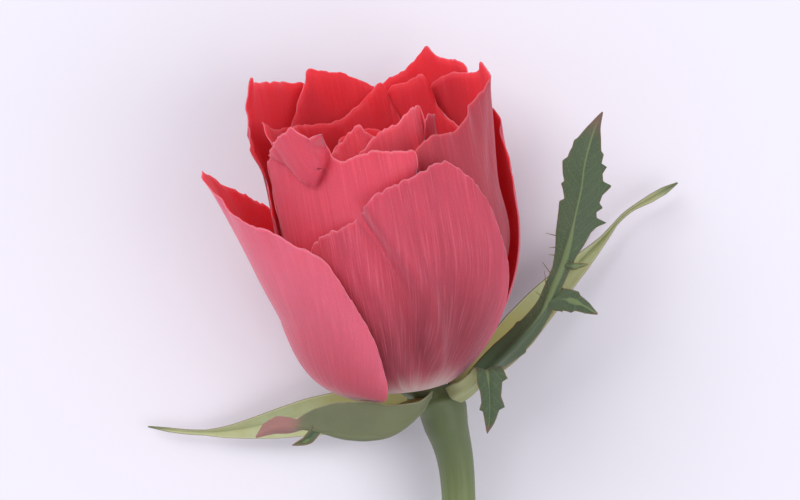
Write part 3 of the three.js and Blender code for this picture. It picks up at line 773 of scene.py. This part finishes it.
# %% The other four sepals
back_right = add_blade(
    "sepal_back_right_skin", ("downy", "pale"), curl=0.3,
    spine=from_foot([(3.2, 0.2, -2.6), (8.3, 4.2, -6.4), (12.7, 9.5, -8), (18.6, 16.1, -9),
                     (24.5, 21.9, -9.5), (28.1, 25.7, -9.5), (31.8, 28.0, -9.5),
                     (35.8, 30.2, -9.3)]),
    side=[(-0.5, 0.6, -0.6), (-0.75, 0.65, 0.1)], turned=0.3,
    folds=[(0, 15, 15), (0.4, 20, 30), (0.7, 10, 60), (1, 10, 10)],
    left=[(0, 2), (0.12, 2.6), (0.3, 3.0), (0.45, 2.6), (0.6, 1.7), (0.7, 0.8), (0.76, 0.35),
          (0.84, 0.35), (0.9, 0.6), (0.95, 0.55), (1, 0.06)],
    right=[(0, 2), (0.12, 2.6), (0.3, 3.0), (0.45, 2.6), (0.6, 1.7), (0.7, 0.8), (0.76, 0.35),
           (0.84, 0.35), (0.9, 0.6), (0.95, 0.55), (1, 0.06)])
front_left = add_blade(
    "sepal_front_left_skin", ("reddened", "pale"), grid=(24, 180),
    spine=from_foot([(-0.4, -0.6, 3.2), (-2.8, -3.2, 6.6), (-5.8, -5.1, 8.8), (-9.0, -5.7, 9.8),
                     (-12.1, -5.6, 10), (-14.6, -5.1, 9.8), (-17.2, -4.6, 9.4),
                     (-19.3, -4.4, 9), (-22.1, -4.6, 8.5), (-24.9, -5.8, 8)]),
    side=[(0.6, 0.8, 0.1), (0.05, 1, 0.15)], turned=0.3,
    folds=[(0, 50, 15), (0.2, 100, 10), (0.5, 120, 5), (0.7, 100, 10), (0.85, 20, 10),
           (1, 10, 10)],
    left=[(0, 1.8), (0.12, 3.4), (0.3, 4.4), (0.45, 4.2), (0.6, 3.2), (0.68, 1.0), (0.76, 1.0),
          (0.82, 1.1), (0.88, 0.9), (0.94, 0.5), (1, 0.06)],
    right=[(0, 1.5), (0.12, 1.9), (0.22, 3.1), (0.34, 4.5), (0.45, 5.1), (0.56, 4.9),
           (0.626, 4.4), (0.66, 3.9), (0.72, 2.9), (0.755, 2.1), (0.79, 1.2), (0.83, 1.4),
           (0.88, 1.7), (0.9, 1.5), (0.945, 1.2), (1, 0.06)])
small_lobe = add_blade(
    "lobe", ("green", "green"), grid=(10, 50),
    spine=from_foot([(-16.4, -4.6, 9.6), (-17.6, -6.1, 9.8), (-19.8, -6.9, 9.7)]),
    side=[(0.3, -0.9, 0), (0.3, -0.9, 0)], turned=1, folds=[(0, 10, 10), (1, 10, 10)],
    left=[(0, 0.8), (0.4, 0.8), (1, 0.04)], right=[(0, 0.8), (0.4, 0.7), (1, 0.04)])
join(front_left, [small_lobe])
back_half = [(0, 2), (0.12, 2.6), (0.28, 3.1), (0.42, 3.0), (0.56, 2.2), (0.7, 1.1),
             (0.8, 0.4), (0.93, 0.3), (1, 0.06)]
back_left = add_blade(
    "sepal_back_left_skin", ("downy", "pale"), curl=0.2,
    spine=from_foot([(-1.6, -0.9, -2.8), (-5.4, -1.9, -6.4), (-12.0, -2.6, -8.8),
                     (-18.6, -3.8, -9.8), (-24.9, -5.2, -10.3), (-30.3, -6.1, -10.6),
                     (-35.4, -6.2, -10.8), (-41.6, -5.5, -10.9)]),
    side=[(-0.4, -0.5, -0.7), (-0.2, -0.95, -0.25)], turned=0.3,
    folds=[(0, 15, 15), (1, 12, 12)], left=back_half, right=back_half)
folded = add_blade(
    "sepal_folded_skin", ("stalk", "green"), grid=(16, 180),
    spine=from_foot([(2.6, -0.5, 3.2), (4.7, 1.0, 7.0), (6.3, 2.7, 9.3), (7.0, 3.6, 10.2),
                     (7.4, 3.6, 11.1), (7.6, 2.3, 11.5), (7.8, -0.4, 11.1), (7.8, -3.0, 10.4),
                     (7.5, -5.3, 9.7)]),
    side=[(0.7, -0.7, -0.2), (1, 0.05, 0)], turned=0.4,
    folds=[(0, 20, 20), (0.4, 5, 5), (0.5, 5, 5), (1, -15, -15)],
    left=[(0, 1.7), (0.15, 1.7), (0.3, 1.6), (0.42, 1.5), (0.52, 1.5), (0.62, 1.6), (0.68, 1.3),
          (0.76, 1.2), (0.82, 1.5), (0.83, 1.0), (0.92, 0.6), (1, 0.06)],
    right=[(0, 1.7), (0.15, 1.7), (0.3, 1.6), (0.42, 1.5), (0.5, 1.9), (0.6, 2.7), (0.62, 1.9),
           (0.72, 1.6), (0.8, 2.1), (0.82, 1.3), (0.92, 0.7), (1, 0.06)])
SEPALS = {"leafy": leafy, "back_right": back_right, "front_left": front_left,
          "back_left": back_left, "folded": folded}
for name, leaf in SEPALS.items():
    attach(leaf, "root")
    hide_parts("sepal_" + name)
print("sepals:", len(SEPALS))

# %% [markdown]
# ## Stem, hip and core
# The stem is a smooth satin green rod with fine fibres along it. It swells into the hip, and
# the core inside the bud carries the petals. A grid is rolled into a tube, its seam is merged
# and its two ends are filled, so it is one closed skin.

# %% Stem material
STEM_SKIN, tree, shader = new_material("rose stem, satin green")
place = node(tree, "Attribute", attribute_name="place").outputs["Vector"]
share = node(tree, "Attribute", attribute_name="share").outputs["Fac"]
cells = node(tree, "TexCoord").outputs["Object"]
fibres = streaks(tree, place, 0.5, 14)
cloud = node(tree, "TexNoise", {"Vector": cells, "Scale": 1 / (6 * MM), "Detail": 3.0}).outputs[0]
green = blend_colour(tree, ramp(tree, fibres, 0.3, 0.7), linear("#6e7d4c"), linear("#84925a"))
green = blend_colour(tree, math_node(tree, "MULTIPLY", ramp(tree, cloud, 0.4, 0.75), 0.4), green,
                     linear("#86985a"))
# Painted shade: the stem turns darker towards the hip, where the bud shades it.
painted_shade_near_hip = ramp(tree, node(tree, "SeparateXYZ", {0: place}).outputs[1], 88, 112)
green = blend_colour(tree, painted_shade_near_hip, green, linear("#5f6b46"))
green = blend_colour(tree, share, linear("#b9bd86"), green)
tree.links.new(green, shader.inputs["Base Color"])
pores = node(tree, "TexNoise", {"Vector": cells, "Scale": 1 / (0.3 * MM), "Detail": 2.0}).outputs[0]
relief = math_node(tree, "MULTIPLY_ADD", pores, 0.4, fibres)
bump = node(tree, "Bump", {"Height": relief, "Strength": 0.4, "Distance": 0.1 * MM})
tree.links.new(bump.outputs[0], shader.inputs["Normal"])
shader.inputs["Roughness"].default_value = 0.42
shader.inputs["Specular IOR Level"].default_value = 0.4
shader.inputs["Subsurface Weight"].default_value = 0.08
shader.inputs["Subsurface Scale"].default_value = 0.8 * MM

# %% The stem
STEM_LENGTH = 104.0
STEM_RADIUS = 2.35
HIP_RADIUS = 3.9
HIP_SHIFT = 0.9  # mm to the right of the axis where the stem meets the hip
NECK_SWELL = 0.85  # mm that the radius grows towards the hip
NECK_REACH = 5.0  # mm over which it grows
CUT_SLANT = 0.7
STEM_ROWS = 140
HIP_ROWS = 60
ROW_STEP = 0.8  # mm between rows, near enough for the colours
floor_point = np.array([FOOT[0], FOOT[1], 0])
lying = [(5.5, -STEM_LENGTH, 0), (5.6, -0.75 * STEM_LENGTH, 0.3), (5, -0.5 * STEM_LENGTH, 1.2),
         (4.4, -0.3 * STEM_LENGTH, 2.8), (3.8, -16, 5.4), (3.2, -9.5, 7.2)]
stem_line = [floor_point + np.array(p) + (0, 0, STEM_RADIUS) for p in lying]
stem_line.append(bud(HIP_SHIFT, 0, -5))
stations = np.linspace(0, 1, STEM_ROWS)
centres, headings, length = spine_at(stem_line, stations)
radii = STEM_RADIUS + NECK_SWELL * np.exp(-(1 - stations) * length / NECK_REACH)
HIP = [(-5, 0.82), (-3, 0.88), (-1.4, 0.95), (-0.7, 1), (-0.2, 0.98)]
CORE = [(0.2, 3.3), (3, 2.8), (6, 2.2), (9, 1.6), (12, 1), (14, 0.5)]
knots = [(h, HIP_RADIUS * w) for h, w in HIP] + CORE
rise = np.linspace(-4.6, CORE_TOP, HIP_ROWS)
hip_radii = np.interp(rise, *zip(*knots))
hip_right = HIP_SHIFT * smooth(-rise / 3) - sag(np.maximum(rise, 0))
hip_centres = bud(hip_right, np.zeros(HIP_ROWS), rise)
centres = np.concatenate([centres, hip_centres])
headings = np.concatenate([headings, np.tile(UP, (HIP_ROWS, 1))])
radii = np.concatenate([radii, hip_radii])
stem, u, v = flat_grid("stem_skin", 48, len(radii) - 1)
row = np.round(v * (len(radii) - 1)).astype(int)
turn = 2 * math.pi * u
across = np.cross([0, 0, 1.0], headings)
across = across / np.linalg.norm(across, axis=1)[:, None]
over = np.cross(headings, across)
around = across[row] * np.cos(turn)[:, None] + over[row] * np.sin(turn)[:, None]
slope = np.where(row == 0, CUT_SLANT, 0) * np.sin(turn)
skin_points = (centres[row] + around * radii[row][:, None]
               + headings[row] * (radii[row] * slope)[:, None])
stem.location = (0, 0, 0)
stem.data.vertices.foreach_set("co", (skin_points * MM).ravel())
store(stem, "place", np.stack([turn * STEM_RADIUS, row * ROW_STEP, turn * 0], axis=1))
store(stem, "share", smooth(row / 2))
bpy.ops.object.select_all(action="DESELECT")
stem.select_set(True)
bpy.context.view_layer.objects.active = stem
bpy.ops.object.mode_set(mode="EDIT")
bpy.ops.mesh.select_all(action="SELECT")
bpy.ops.mesh.remove_doubles(threshold=0.00001)
bpy.ops.mesh.select_all(action="DESELECT")
bpy.ops.mesh.select_mode(type="EDGE")
bpy.ops.mesh.select_non_manifold()
bpy.ops.mesh.edge_face_add()
bpy.ops.mesh.select_all(action="SELECT")
bpy.ops.mesh.normals_make_consistent(inside=False)
bpy.ops.object.mode_set(mode="OBJECT")
bpy.ops.object.shade_smooth_by_angle(angle=math.radians(50))
stem.data.materials.append(STEM_SKIN)
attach(stem, "root")
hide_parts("stem")
print("stem length, mm:", round(length, 1))

# %% [markdown]
# ## Floor, light and camera
# The flower lies on a plain pale surface under soft light from the upper left. The camera looks
# straight down with a long lens, so the bud is seen from its front.

# %% Floor and light
bpy.ops.object.select_all(action="DESELECT")
bpy.ops.mesh.primitive_plane_add(size=6)
floor = bpy.context.object
floor.name = "floor"
material, tree, shader = new_material("pale studio paper")
shader.inputs["Base Color"].default_value = linear("#eae8f0")
shader.inputs["Roughness"].default_value = 0.9
floor.data.materials.append(material)

world = bpy.data.worlds.new("soft studio")
bpy.context.scene.world = world
world.use_nodes = True
world.node_tree.nodes["Background"].inputs["Color"].default_value = linear("#f6f4fd")
world.node_tree.nodes["Background"].inputs["Strength"].default_value = 0.61


def softbox(name, place, target, size, power):
    """A square area light at a place, turned to a target, all in metres."""
    light = bpy.data.lights.new(name, "AREA")
    light.shape = "SQUARE"
    light.size = size
    light.energy = power
    lamp = bpy.data.objects.new(name, light)
    lamp.location = place
    lamp.rotation_euler = (Vector(target) - Vector(place)).to_track_quat("-Z", "Y").to_euler()
    bpy.context.scene.collection.objects.link(lamp)


softbox("key", (-0.9, 1.0, 1.3), (0, 0.04, 0.02), 1.2, 18)
softbox("fill", (0.9, -0.3, 1.2), (0, 0.04, 0.02), 1.3, 9)

# %% Camera
ABOVE = 450.0  # mm from the foot of the petals to the lens
SEEN_WIDTH = 114.3  # mm across the view at that distance
BESIDE = (-4.71, 20.43)  # mm from the foot of the petals to the middle of the view
SENSOR = 36
camera_data = bpy.data.cameras.new("camera")
camera_data.sensor_width = SENSOR
camera_data.lens = SENSOR * ABOVE / SEEN_WIDTH
camera = bpy.data.objects.new("camera", camera_data)
camera.location = (FOOT + np.array([*BESIDE, ABOVE])) * MM
bpy.context.scene.collection.objects.link(camera)
bpy.context.scene.camera = camera
bpy.context.scene.view_settings.view_transform = "Standard"
print("lens, mm:", round(camera_data.lens, 1))
